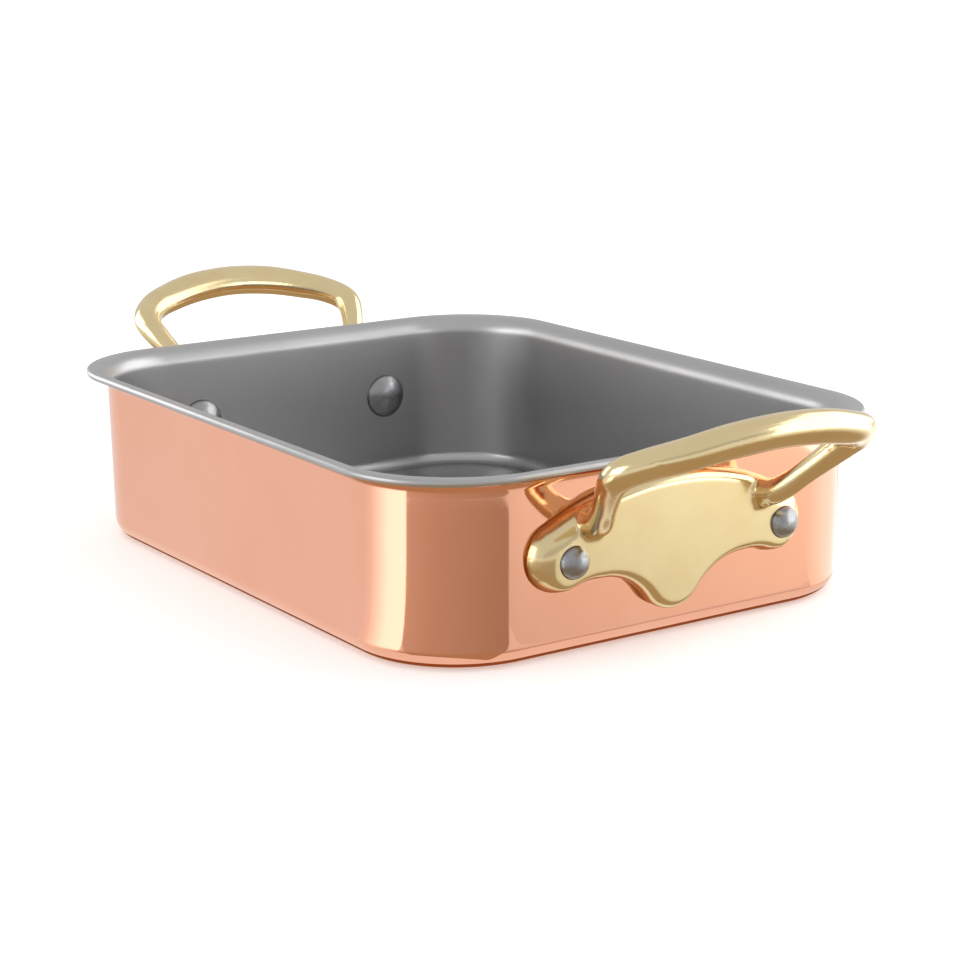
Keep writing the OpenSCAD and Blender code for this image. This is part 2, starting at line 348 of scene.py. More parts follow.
satin_steel, tree, shader, marks = new_metal("satin steel", stretch=(30, 30, 1600), patch_size=30.0)
wall_steel = blend_colours(
    tree, 200, 200, marks.outputs["Patches"], steel_tone, (0.455, 0.45, 0.45))

# On the floor the belt ran along the pan, and the floor's steel is painted darker than the walls': painted
# shade at the bottom of the pan's inside. The floor and the round edge up to the walls are rubbed finer than
# the walls.
lining_height = add_node(
    tree, "ShaderNodeSeparateXYZ", -700, 500,
    Vector=add_node(tree, "ShaderNodeTexCoord", -900, 500).outputs["Object"]).outputs["Z"]
on_wall = spread(tree, -500, 500, lining_height, floor_end, wall_start, 0.0, 1.0)
# Painted shade: below the wall's start the floor's steel is painted darker than the walls'
steel_with_floor_shade = blend_colours(tree, 450, 300, on_wall, (0.38, 0.375, 0.375), steel_tone)
tree.links.new(wall_steel, steel_with_floor_shade.node.inputs[7])
tree.links.new(steel_with_floor_shade, shader.inputs["Base Color"])
floor_marks = add_node(tree, "ShaderNodeGroup", -600, 250, {"node_tree": buffing}, Patch_size=30.0)
floor_marks.inputs["Stretch"].default_value = (30, 1200, 30)
belt_lines = add_node(tree, "ShaderNodeMix", -300, 250, {"data_type": "FLOAT"})
tree.links.new(on_wall, belt_lines.inputs[0])
tree.links.new(floor_marks.outputs["Hairlines"], belt_lines.inputs[2])
tree.links.new(marks.outputs["Hairlines"], belt_lines.inputs[3])
steel_haze = maths(
    tree, "ADD", 200, -50,
    spread(tree, 0, -50, marks.outputs["Patches"], 0.0, 1.0, 0.34, 0.39),
    spread(tree, 0, -300, belt_lines.outputs[0], 0.3, 0.7, 0.0, 0.05))
rubbed = spread(tree, 0, 500, lining_height, rubbed_start, rubbed_end, -0.1, 0.0)
tree.links.new(maths(tree, "ADD", 400, -50, steel_haze, rubbed), shader.inputs["Roughness"])
steel_waves = add_node(
    tree, "ShaderNodeBump", 200, -500, Height=marks.outputs["Waves"], Strength=0.15, Distance=0.0008)
steel_lines = add_node(
    tree, "ShaderNodeBump", 450, -500, Height=belt_lines.outputs[0],
    Normal=steel_waves.outputs[0], Strength=0.12, Distance=0.0001)
tree.links.new(steel_lines.outputs[0], shader.inputs["Normal"])

lining.data.materials.append(satin_steel)
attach(lining, "root")
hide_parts("steel_lining")

# Handles: two castings of yellow brass, each a plate with two lobes, a tongue and an arch, and
# a bail that grows out of the plate's face. Filed, buffed bright and riveted to an end wall,
# a little to one side of the middle between its rivets.
wall_out = pan_length / 2 - lip_width - pan_height * math.tan(wall_lean)
plate_thick = 4 * mm
rivet_out = 23.3 * mm
rivet_height = 18.2 * mm
lobe_centre = Vector((23.6 * mm, 18.6 * mm, 0))
lobe_round = 6.4 * mm
tongue_centre = Vector((0, 12.1 * mm, 0))
tongue_round = 6.3 * mm
notch_round = 13 * mm
arch_round = 58 * mm
arch_top = 30.7 * mm
arch_half = 22.5 * mm
edge_round = 2.6 * mm
casting_off = 0.8 * mm
touching = 0.01 * mm
SHOULDER_TURN = 60
ARCH_STEPS = 14
SHOULDER_STEPS = 2
UPPER_LOBE_STEPS = 8
LOWER_LOBE_STEPS = 16
NOTCH_STEPS = 14
TONGUE_STEPS = 8
EDGE_TURN = 65
EDGE_STEPS = 9

# The round between a lobe and the tongue touches both from below
lobe_way = lobe_centre - tongue_centre
lobe_far = lobe_way.length
tongue_reach = tongue_round + notch_round
lobe_reach = lobe_round + notch_round
notch_along = (lobe_far ** 2 + tongue_reach ** 2 - lobe_reach ** 2) / (2 * lobe_far)
notch_across = math.sqrt(tongue_reach ** 2 - notch_along ** 2)
lobe_way.normalize()
notch_centre = tongue_centre + lobe_way * notch_along + Vector((lobe_way.y, -lobe_way.x, 0)) * notch_across


def spin_to(centre, end, steps):
    """Spins the outline's last point about a centre until it stands in line with another point."""
    shape = bmesh.from_edit_mesh(bpy.context.object.data)
    last = next(point for point in shape.verts if point.select).co.copy()
    start = math.atan2(last.y - centre.y, last.x - centre.x)
    stop = math.atan2(end.y - centre.y, end.x - centre.x)
    angle = (stop - start + math.pi) % (2 * math.pi) - math.pi
    bpy.ops.mesh.spin(steps=steps, angle=-angle, center=centre, axis=(0, 0, 1))


bpy.ops.object.select_all(action="DESELECT")
bpy.ops.mesh.primitive_plane_add(size=1 * mm)
front_casting = bpy.context.object
front_casting.name = "front_brass_handle"
bpy.ops.object.mode_set(mode="EDIT")
bpy.ops.mesh.select_mode(type="VERT")
bpy.ops.mesh.select_all(action="SELECT")
bpy.ops.mesh.merge(type="CENTER")
bpy.ops.transform.translate(value=(0, arch_top, 0))
arch_centre = Vector((0, arch_top - arch_round, 0))
arch_end = Vector((arch_half, arch_centre.y + math.sqrt(arch_round ** 2 - arch_half ** 2), 0))
spin_to(arch_centre, arch_end, ARCH_STEPS)
shoulder_turn = math.radians(SHOULDER_TURN)
shoulder = lobe_centre + lobe_round * Vector((math.cos(shoulder_turn), math.sin(shoulder_turn), 0))
for step in range(SHOULDER_STEPS):
    bpy.ops.mesh.extrude_region_move(
        TRANSFORM_OT_translate={"value": (shoulder - arch_end) / SHOULDER_STEPS})
spin_to(lobe_centre, Vector((lobe_centre.x + lobe_round, lobe_centre.y, 0)), UPPER_LOBE_STEPS)
spin_to(lobe_centre, notch_centre, LOWER_LOBE_STEPS)
spin_to(notch_centre, tongue_centre, NOTCH_STEPS)
spin_to(tongue_centre, Vector((0, tongue_centre.y - tongue_round, 0)), TONGUE_STEPS)
bpy.ops.mesh.select_all(action="SELECT")
bpy.ops.mesh.duplicate()
bpy.ops.transform.resize(value=(-1, 1, 1), center_override=(0, 0, 0))
bpy.ops.mesh.select_all(action="SELECT")
bpy.ops.mesh.remove_doubles(threshold=touching)
bpy.ops.mesh.edge_face_add()
face_way(front_casting, up=True)
bpy.ops.mesh.select_all(action="SELECT")
bpy.ops.mesh.inset(thickness=0, depth=plate_thick - edge_round * math.sin(math.radians(EDGE_TURN)))
for step in range(EDGE_STEPS):
    before = math.radians(EDGE_TURN * step / EDGE_STEPS)
    after = math.radians(EDGE_TURN * (step + 1) / EDGE_STEPS)
    bpy.ops.mesh.inset(
        thickness=edge_round * (math.cos(before) - math.cos(after)),
        depth=edge_round * (math.sin(after) - math.sin(before)))
select_edges(front_casting, lambda place: abs(place.z) < touching)
bpy.ops.mesh.edge_face_add()
bpy.ops.mesh.select_mode(type="VERT")
bpy.ops.mesh.select_all(action="SELECT")
bpy.ops.mesh.normals_make_consistent(inside=False)
bpy.ops.object.mode_set(mode="OBJECT")

# The lobes are filed round: from the rivet to the rim, less so at the bottom, and along the shoulder
# up to the bail's root
casting_grain = 0.26 * mm
lobe_slope = 4.6 * mm
lower_slope = 2.2 * mm
LOWER_TURN = -80
SLOPE_TURN = 70
RIM_LEFT = 0.04
filed_from = 16 * mm
filed_over = 6 * mm


def held(value, least=0):
    """A share, kept between the least and the whole."""
    return min(1, max(least, value))


finish_with(front_casting, "REMESH", mode="VOXEL", voxel_size=casting_grain)
shoulder_way = (arch_end - shoulder).normalized()
bpy.ops.object.mode_set(mode="EDIT")
shape = bmesh.from_edit_mesh(front_casting.data)
for point in shape.verts:
    spot = Vector((abs(point.co.x), point.co.y, 0))
    from_rim = lobe_round - (spot - lobe_centre).length
    if (spot - lobe_centre).cross(notch_centre - lobe_centre).z > 0:
        from_rim = (spot - notch_centre).length - notch_round
    if (spot - shoulder).dot(shoulder_way) > 0:
        from_rim = (shoulder - spot).dot(Vector((shoulder_way.y, -shoulder_way.x, 0)))
        from_rim = min(from_rim, (spot - notch_centre).length - notch_round)
    turned = math.degrees(math.atan2(spot.y - lobe_centre.y, max(0, spot.x - lobe_centre.x)))
    slope = lower_slope + (lobe_slope - lower_slope) * held((turned - LOWER_TURN) / SLOPE_TURN)
    flat = 1 - held(from_rim / slope, RIM_LEFT)
    filed = held((spot.x - filed_from) / filed_over)
    point.co.z *= 1 - filed * (1 - math.sqrt(1 - flat ** 2))
bmesh.update_edit_mesh(front_casting.data)
bpy.ops.object.mode_set(mode="OBJECT")

# The bail's centre line, from a root to the middle of the bar: out from the wall, out from the
# casting's middle, and up, with the width and the thickness of the bar there
bail_stations = [
    (2, 18.5, 24.4, 5.4, 5.4),
    (6.9, 19.6, 25.4, 4.7, 4.7),
    (11.79, 22.19, 29.64, 4.2, 4.2),
    (16.7, 24.86, 34.5, 5.1, 5.0),
    (20.3, 25.4, 37.5, 5.9, 5.5),
    (23.76, 22.4, 39.5, 6.5, 5.4),
    (26.62, 17.34, 40.96, 6.92, 5.56),
    (28.52, 9.44, 42.55, 7.4, 5.8),
    (29.2, 0, 43.2, 7.4, 5.8)]
BAIL_SIDES = 40
BAIL_STEPS = 8
first_round = 3 * mm
bail_stations += [
    (out, -across, up, wide, thick) for out, across, up, wide, thick in reversed(bail_stations[:-1])]


def along_bail(first, share):
    """A smooth curve through the stations, some share of the way from one to the next."""
    a, b, c, d = (
        bail_stations[max(0, min(len(bail_stations) - 1, first + step))] for step in (-1, 0, 1, 2))
    return [
        (q + share / 2 * (r - p + share * (2 * p - 5 * q + 4 * r - s + share * (3 * q - p - 3 * r + s)))) * mm
        for p, q, r, s in zip(a, b, c, d)]


bail_line = [
    along_bail(first, step / BAIL_STEPS)
    for first in range(len(bail_stations) - 1) for step in range(BAIL_STEPS)]
bail_line.append([value * mm for value in bail_stations[-1]])

# The broad face of the bar looks up and back to the pan: out, across and up
bail_square = Vector((-18.7, 0, 27.2)).normalized()


def drawn(wall_place):
    """From the wall's directions, out, across and up, to those that the plate is drawn in."""
    return Vector((wall_place.y, wall_place.z, wall_place.x))


def bail_frame(station):
    """Middle of the bar at a station, the directions of its width and its thickness, and both sizes."""
    before = Vector(bail_line[max(station - 1, 0)][:3])
    after = Vector(bail_line[min(station + 1, len(bail_line) - 1)][:3])
    way = (after - before).normalized()
    upright = (bail_square - way * bail_square.dot(way)).normalized()
    middle = Vector(bail_line[station][:3])
    return drawn(middle), drawn(way.cross(upright)), drawn(upright), *bail_line[station][3:]


bpy.ops.object.select_all(action="DESELECT")
bpy.ops.mesh.primitive_circle_add(vertices=BAIL_SIDES, radius=first_round, fill_type="NGON")
bail = bpy.context.object
bpy.ops.object.mode_set(mode="EDIT")
here = Vector((0, 0, 0)), Vector((1, 0, 0)), Vector((0, 1, 0)), 2 * first_round, 2 * first_round
for station in range(len(bail_line)):
    if station:
        bpy.ops.mesh.extrude_region_move()
    there = bail_frame(station)
    shape = bmesh.from_edit_mesh(bail.data)
    for point in shape.verts:
        if point.select:
            away = point.co - here[0]
            angle = math.atan2(away.dot(here[2]) / here[4], away.dot(here[1]) / here[3])
            point.co = (
                there[0] + there[1] * there[3] / 2 * math.cos(angle)
                + there[2] * there[4] / 2 * math.sin(angle))
    bmesh.update_edit_mesh(bail.data)
    here = there
bpy.ops.mesh.select_all(action="SELECT")
bpy.ops.mesh.normals_make_consistent(inside=False)

# Each root stands on the plate with a short upright foot on its inner side
root_foot = Vector((18.4 * mm, 24.2 * mm, 4.3 * mm))
foot_round = 1.25 * mm
foot_long = 4.2 * mm
FOOT_STRETCH = 1.45
for side in (-1, 1):
    bpy.ops.mesh.select_all(action="DESELECT")
    bpy.ops.mesh.primitive_cylinder_add(
        vertices=32, radius=foot_round, depth=foot_long, rotation=(math.pi / 2, 0, 0),
        location=(side * root_foot.x, root_foot.y, root_foot.z))
    bpy.ops.transform.resize(
        value=(1, 1, FOOT_STRETCH), center_override=(side * root_foot.x, root_foot.y, root_foot.z))
bpy.ops.object.mode_set(mode="OBJECT")
bpy.ops.object.select_all(action="DESELECT")
bail.select_set(True)
front_casting.select_set(True)
bpy.context.view_layer.objects.active = front_casting
bpy.ops.object.join()

# The casting is one smooth skin: its metal runs in a fillet from the plate to the bail's roots, which
# is rubbed down more the nearer it is to the root, and so are the hollows of the bail's elbows. Each
# rub has its reach and its strokes.
RUB_SHARE = 0.5
ALL_OVER = 3
root_across = 19 * mm
root_low = 3.2 * mm
root_high = 7 * mm
root_rubs = ((6 * mm, 3), (5.2 * mm, 3), (4.4 * mm, 8))
bail_elbow = Vector((21.5 * mm, 37.5 * mm, 21.5 * mm))
elbow_rubs = ((6.5 * mm, 12), (5 * mm, 24))
finish_with(front_casting, "REMESH", mode="VOXEL", voxel_size=casting_grain)
bpy.ops.object.mode_set(mode="EDIT")
bpy.ops.mesh.select_mode(type="VERT")
bpy.ops.mesh.select_all(action="SELECT")
bpy.ops.mesh.vertices_smooth(factor=RUB_SHARE, repeat=ALL_OVER)


def smooth_where(piece, wanted, times):
    """Rubs down the part of a casting that is wanted."""
    bpy.ops.mesh.select_all(action="DESELECT")
    shape = bmesh.from_edit_mesh(piece.data)
    for point in shape.verts:
        point.select = wanted(abs(point.co.x), point.co.y, point.co.z)
    bmesh.update_edit_mesh(piece.data)
    bpy.ops.mesh.vertices_smooth(factor=RUB_SHARE, repeat=times)


for reach, times in root_rubs:
    smooth_where(
        front_casting,
        lambda across, up, out: (
            math.hypot(across - root_across, up - root_foot.y) < reach and root_low < out < root_high),
        times)
for reach, times in elbow_rubs:
    smooth_where(
        front_casting, lambda across, up, out: (Vector((across, up, out)) - bail_elbow).length < reach, times)
bpy.ops.object.mode_set(mode="OBJECT")

# From the drawing onto the end wall: across, up and out become Y, Z and X, leaning with the wall
onto_wall = (
    Matrix.Translation((wall_out, 0, 0)) @ Matrix.Rotation(wall_lean, 4, "Y")
    @ Matrix(((0, 0, 1, 0), (1, 0, 0, 0), (0, 1, 0, 0), (0, 0, 0, 1))))


def seat_on_wall(piece, across, up):
    """Moves a piece that was made lying down to its place on the front wall, and into its mesh."""
    bpy.ops.object.select_all(action="DESELECT")
    piece.select_set(True)
    bpy.context.view_layer.objects.active = piece
    piece.matrix_world = onto_wall @ Matrix.Translation((across, up, 0))
    bpy.ops.object.transform_apply(location=True, rotation=True, scale=True)


def turn_to_rear(piece, name):
    """A copy of a piece, turned half round to the rear wall."""
    bpy.ops.object.select_all(action="DESELECT")
    piece.select_set(True)
    bpy.context.view_layer.objects.active = piece
    bpy.ops.object.duplicate()
    copy = bpy.context.object
    copy.name = name
    copy.matrix_world = Matrix.Rotation(math.pi, 4, "Z")
    bpy.ops.object.transform_apply(location=True, rotation=True, scale=True)
    return copy


seat_on_wall(front_casting, -casting_off, 0)
bpy.ops.object.shade_smooth()

brass_tone = 0.82, 0.67, 0.395
seam_end = 0.3 * mm
seam_fade = 1.3 * mm
polished_brass, tree, shader, marks = new_metal(
    "polished brass", stretch=(500, 90, 90), patch_size=90.0)
brass_colour = blend_colours(
    tree, 200, 200, marks.outputs["Patches"], brass_tone, (0.78, 0.62, 0.35))


def off_wall(tree):
    """How far out along the pan a point is, less what the end walls lean out at its height."""
    place = add_node(
        tree, "ShaderNodeSeparateXYZ", -700, 600,
        Vector=add_node(tree, "ShaderNodeTexCoord", -900, 600).outputs["Object"])
    leaning = maths(tree, "MULTIPLY", -500, 500, place.outputs["Z"], math.tan(wall_lean))
    out = maths(tree, "ABSOLUTE", -500, 700, place.outputs["X"], 0)
    return maths(tree, "SUBTRACT", -300, 600, out, leaning)


# Painted shade: the brass is painted dark brown along the seam between plate and wall, where the plate's edge
# meets the copper
past_seam = spread(tree, -100, 600, off_wall(tree), wall_out + seam_end, wall_out + seam_fade, 0.0, 1.0)
brass_with_seam_shade = blend_colours(tree, 450, 400, past_seam, (0.42, 0.22, 0.045), brass_tone)
tree.links.new(brass_colour, brass_with_seam_shade.node.inputs[7])
tree.links.new(brass_with_seam_shade, shader.inputs["Base Color"])
brass_haze = maths(
    tree, "ADD", 200, -50,
    spread(tree, 0, -50, marks.outputs["Patches"], 0.0, 1.0, 0.13, 0.18),
    spread(tree, 0, -300, marks.outputs["Hairlines"], 0.3, 0.7, 0.0, 0.04))
tree.links.new(brass_haze, shader.inputs["Roughness"])
brass_waves = add_node(
    tree, "ShaderNodeBump", 200, -500, Height=marks.outputs["Waves"], Strength=0.25, Distance=0.0006)
brass_lines = add_node(
    tree, "ShaderNodeBump", 450, -500, Height=marks.outputs["Hairlines"],
    Normal=brass_waves.outputs[0], Strength=0.06, Distance=0.0001)
tree.links.new(brass_lines.outputs[0], shader.inputs["Normal"])
front_casting.data.materials.clear()
front_casting.data.materials.append(polished_brass)
rear_casting = turn_to_rear(front_casting, "rear_brass_handle")
for casting, node in ((front_casting, "front_handle"), (rear_casting, "rear_handle")):
    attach(casting, "root")
    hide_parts(node)

# Rivets: four of steel, each with a high round head outside the plate and a wider, flatter one
# inside the pan, hammered tight, so that their satin skin is a little dented.
shank_round = 2 * mm
outer_head = 3.05 * mm, 2.4 * mm
inner_head = 4.8 * mm, 2.4 * mm
HEAD_SIDES = 56
HEAD_RINGS = 40
head_sunk = 0.2 * mm
shank_more = 0.3 * mm
head_edge = 0.12 * mm
head_crease = math.radians(50)
rim_sunk = 0.1 * mm
rim_end = 0.1 * mm
rim_fade = 0.55 * mm
rivet_tone = 0.37, 0.375, 0.385


def add_head(half, high, seat, way):
    """Adds a domed head to the rivet being edited: a ball, cut off at its seat. It points way."""
    ball = (half ** 2 + high ** 2) / (2 * high)
    bpy.ops.mesh.select_all(action="DESELECT")
    bpy.ops.mesh.primitive_uv_sphere_add(
        segments=HEAD_SIDES, ring_count=HEAD_RINGS, radius=ball,
        location=(0, 0, seat + way * (high - ball)))
    bpy.ops.mesh.bisect(
        plane_co=(0, 0, seat), plane_no=(0, 0, way), use_fill=True, clear_inner=True)


bpy.ops.object.select_all(action="DESELECT")
bpy.ops.mesh.primitive_plane_add(size=1 * mm)
front_rivet = bpy.context.object
bpy.ops.object.mode_set(mode="EDIT")
bpy.ops.mesh.delete(type="VERT")
add_head(*outer_head, plate_thick - head_sunk, 1)
bpy.ops.mesh.inset(thickness=outer_head[0] - shank_round)
bpy.ops.mesh.inset(thickness=0, depth=plate_thick + sheet_thick + shank_more)
add_head(*inner_head, -sheet_thick, -1)
bpy.ops.object.mode_set(mode="OBJECT")
finish_with(
    front_rivet, "BEVEL", width=head_edge, segments=2, limit_method="ANGLE", angle_limit=head_crease)
bpy.ops.object.shade_smooth_by_angle(angle=head_crease)

rivet_steel, tree, shader, marks = new_metal(
    "hammered rivet steel", stretch=(300, 300, 300), patch_size=260.0)
rivet_colour = blend_colours(
    tree, 200, 200, marks.outputs["Patches"], rivet_tone, (0.31, 0.315, 0.325))

# Each head is painted darker round its rim, where it meets the plate or the wall: painted shade in the crease
from_wall = off_wall(tree)
head_rims = []
for row, seat in enumerate((plate_thick - rim_sunk, -sheet_thick)):
    above_seat = maths(tree, "SUBTRACT", -150, 500 + 200 * row, from_wall, wall_out + seat)
    head_rims.append(maths(tree, "ABSOLUTE", 0, 500 + 200 * row, above_seat, 0))
on_head = spread(
    tree, 300, 500, maths(tree, "MINIMUM", 150, 500, *head_rims), rim_end, rim_fade, 0.0, 1.0)
rivet_with_rim_shade = blend_colours(tree, 450, 400, on_head, (0.09, 0.085, 0.085), rivet_tone)
tree.links.new(rivet_colour, rivet_with_rim_shade.node.inputs[7])
tree.links.new(rivet_with_rim_shade, shader.inputs["Base Color"])
tree.links.new(
    spread(tree, 0, -50, marks.outputs["Patches"], 0.0, 1.0, 0.28, 0.37), shader.inputs["Roughness"])
rivet_dents = add_node(
    tree, "ShaderNodeBump", 450, -500, Height=marks.outputs["Patches"], Strength=0.35, Distance=0.0003)
tree.links.new(rivet_dents.outputs[0], shader.inputs["Normal"])
front_rivet.data.materials.append(rivet_steel)

front_rivet.name = "front_left_steel_rivet"
seat_on_wall(front_rivet, -rivet_out, rivet_height)
bpy.ops.object.duplicate()
other_rivet = bpy.context.object
other_rivet.name = "front_right_steel_rivet"
other_rivet.location.y = rivet_out * 2
bpy.ops.object.transform_apply(location=True)
rear_left = turn_to_rear(front_rivet, "rear_left_steel_rivet")
rear_right = turn_to_rear(other_rivet, "rear_right_steel_rivet")
for rivet, node in (
        (front_rivet, "front_left_rivet"), (other_rivet, "front_right_rivet"),
        (rear_left, "rear_left_rivet"), (rear_right, "rear_right_rivet")):
    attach(rivet, "root")
    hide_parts(node)

# Studio: a white table under a glowing tent of pale cloth, with a wide soft box at each side. White and
# dark glowing cards lie on the table and glowing screens stand round it, all out of the camera's sight, so
# that the polished metal has painted light and shade to show. None of it is part of the pan.
def seen_by(tree, *rays):
    """A mask of the rays that look straight or by reflection, from the Light Path node."""
    path = tree.nodes.new("ShaderNodeLightPath")
    path.location = (-900, 0)
    mask = path.outputs[rays[0]]
    for step, ray in enumerate(rays[1:]):
        mask = maths(tree, "MAXIMUM", -700 + 150 * step, 0, mask, path.outputs[ray])
    return mask


world = bpy.data.worlds.new("white studio")
bpy.context.scene.world = world
world.use_nodes = True
tree = world.node_tree
seen = seen_by(tree, "Is Camera Ray", "Is Glossy Ray", "Is Transmission Ray")
room = tree.nodes["Background"]
room.inputs["Color"].default_value = (1, 1, 1, 1)
tree.links.new(spread(tree, 0, -100, seen, 0.0, 1.0, 0.88, 1.0), room.inputs["Strength"])


def low_glance(tree):
    """A mask of the looks that meet a lying surface at a low angle, for a painted sheen like a glossy
    table's.
    """
    facing = add_node(tree, "ShaderNodeLayerWeight", -600, -300, Blend=0.5).outputs["Facing"]
    return spread(tree, -400, -300, facing, 0.42, 0.6, 0.0, 1.0)


# The table is white and takes the pan's shadow. In reflections it glows with a painted sheen: white where it
# is met at a low angle, as the polished walls meet it, and dark where it is looked down on. It is clear from
# below, so that the pan's underside can be looked at too.
# The dark tone that the table, the fans and the end mat glow with in reflections where they are looked down
# on: painted shade
steep_tone = 0.48, 0.35, 0.22
table_under = 0.05 * mm
bpy.ops.object.select_all(action="DESELECT")
bpy.ops.mesh.primitive_plane_add(size=6, location=(0, 0, -table_under))
table_top = bpy.context.object
table_top.name = "table_top"
white_table = bpy.data.materials.new("white table")
white_table.use_nodes = True
tree = white_table.node_tree
shader = tree.nodes["Principled BSDF"]
shader.inputs["Roughness"].default_value = 0.9
shader.inputs["Specular IOR Level"].default_value = 0
mirrored = seen_by(tree, "Is Glossy Ray", "Is Transmission Ray")
tree.links.new(
    blend_colours(tree, 300, 100, mirrored, (0.93, 0.93, 0.93), (0, 0, 0)), shader.inputs["Base Color"])
looked_at = seen_by(tree, "Is Camera Ray")
tree.links.new(
    blend_colours(
        tree, 300, -100, maths(tree, "MAXIMUM", 100, -100, low_glance(tree), looked_at),
        steep_tone, (0.9, 0.9, 0.9)),
    shader.inputs["Emission Color"])
straight = maths(tree, "MULTIPLY", 0, -300, looked_at, 0.3)
tree.links.new(maths(tree, "ADD", 300, -300, mirrored, straight), shader.inputs["Emission Strength"])
from_below = add_node(tree, "ShaderNodeNewGeometry", 300, 300).outputs["Backfacing"]
one_sided = add_node(tree, "ShaderNodeMixShader", 600, 300, Fac=from_below)
tree.links.new(shader.outputs[0], one_sided.inputs[1])
tree.links.new(add_node(tree, "ShaderNodeBsdfTransparent", 300, 500).outputs[0], one_sided.inputs[2])
tree.links.new(one_sided.outputs[0], tree.nodes["Material Output"].inputs["Surface"])
table_top.data.materials.append(white_table)


def only_reflected(piece):
    """Keeps a piece of the studio out of everything but reflections."""
    piece.visible_camera = False
    piece.visible_diffuse = False
    piece.visible_shadow = False
    piece.visible_transmission = False


def glowing(name, tone):
    """A plain glowing material, and its shader."""
    material = bpy.data.materials.new(name)
    material.use_nodes = True
    shader = material.node_tree.nodes["Principled BSDF"]
    shader.inputs["Base Color"].default_value = (0, 0, 0, 1)
    shader.inputs["Specular IOR Level"].default_value = 0
    shader.inputs["Emission Color"].default_value = (1, 1, 1, 1)
    shader.inputs["Emission Strength"].default_value = tone
    return material, shader


bpy.ops.object.select_all(action="DESELECT")
bpy.ops.mesh.primitive_uv_sphere_add(segments=48, ring_count=24, radius=2)
tent = bpy.context.object
tent.name = "cloth_tent"
bpy.ops.object.mode_set(mode="EDIT")
bpy.ops.mesh.bisect(plane_co=(0, 0, 0), plane_no=(0, 0, 1), clear_inner=True)
bpy.ops.object.mode_set(mode="OBJECT")
tent.data.materials.append(glowing("tent cloth", 0.74)[0])
only_reflected(tent)


# A fan's card is cut every few degrees, so that it can be bent, and its ramp holds its tones as
# shares of its glow
FAN_STEP = 3
FAN_GLOW = 3


def add_fan(name, apex, near, far, start, end, tones, rounding, height):
    """A flat card like an open fan about its apex, with a tone for some of its angles, in degrees.

    It is first a plain card, a millimetre for each degree along it, and is then bent round.
    """
    bpy.ops.object.select_all(action="DESELECT")
    bpy.ops.mesh.primitive_plane_add(size=1 * mm)
    fan = bpy.context.object
    fan.name = name
    bpy.ops.object.mode_set(mode="EDIT")
    bpy.ops.mesh.delete(type="VERT")
    add_round_face((end - start) / 2 * mm, (far - near) / 2, rounding, 0)
    cuts = math.floor((end - start) / (2 * FAN_STEP))
    for turn in range(1 - cuts, cuts):
        bpy.ops.mesh.select_all(action="SELECT")
        bpy.ops.mesh.bisect(plane_co=(turn * FAN_STEP * mm, 0, 0), plane_no=(1, 0, 0))
    shape = bmesh.from_edit_mesh(fan.data)
    for point in shape.verts:
        angle = math.radians((start + end) / 2 + point.co.x / mm)
        out = (near + far) / 2 + point.co.y
        point.co = (out * math.cos(angle), out * math.sin(angle), 0)
    bmesh.update_edit_mesh(fan.data)
    bpy.ops.object.mode_set(mode="OBJECT")
    material, shader = glowing(name, FAN_GLOW)
    tree = material.node_tree
    place = add_node(
        tree, "ShaderNodeSeparateXYZ", -1000, 0,
        Vector=add_node(tree, "ShaderNodeTexCoord", -1200, 0).outputs["Object"])
    angle = maths(tree, "ARCTAN2", -800, 0, place.outputs["Y"], place.outputs["X"])
    share = spread(tree, -600, 0, angle, math.radians(start), math.radians(end), 0.0, 1.0)
    ramp = add_node(tree, "ShaderNodeValToRGB", -400, 0, Fac=share)
    for at, tone in tones:
        stop = ramp.color_ramp.elements.new((at - start) / (end - start))
        stop.color = (*(part / FAN_GLOW for part in tone), 1)
    ramp.color_ramp.elements.remove(ramp.color_ramp.elements[0])
    ramp.color_ramp.elements.remove(ramp.color_ramp.elements[-1])
    lit = blend_colours(
        tree, 200, 0, low_glance(tree), [part / FAN_GLOW for part in steep_tone], (1, 1, 1))
    tree.links.new(ramp.outputs[0], lit.node.inputs[7])
    tree.links.new(lit, shader.inputs["Emission Color"])
    fan.data.materials.append(material)
    fan.location = (*apex, height)
    only_reflected(fan)
    return fan


def copy_to_rear(card, lift=0):
    """The same card at the other end of the pan, for whoever looks from there, lifted by so much."""
    bpy.ops.object.select_all(action="DESELECT")
    card.select_set(True)
    bpy.context.view_layer.objects.active = card
    bpy.ops.object.duplicate()
    other = bpy.context.object
    other.name = card.name + "_rear"
    other.matrix_world = (
        Matrix.Translation((0, 0, lift)) @ Matrix.Rotation(math.pi, 4, "Z") @ card.matrix_world)
    only_reflected(other)


# Each fan opens about a point that lies inside a corner of the pan
near_apex = 51.3 * mm, -38 * mm
right_apex = 54.3 * mm, 24.8 * mm
card_height = 0.2 * mm
card_round = 1 * mm
dark_height = 0.35 * mm
dark_round = 15 * mm
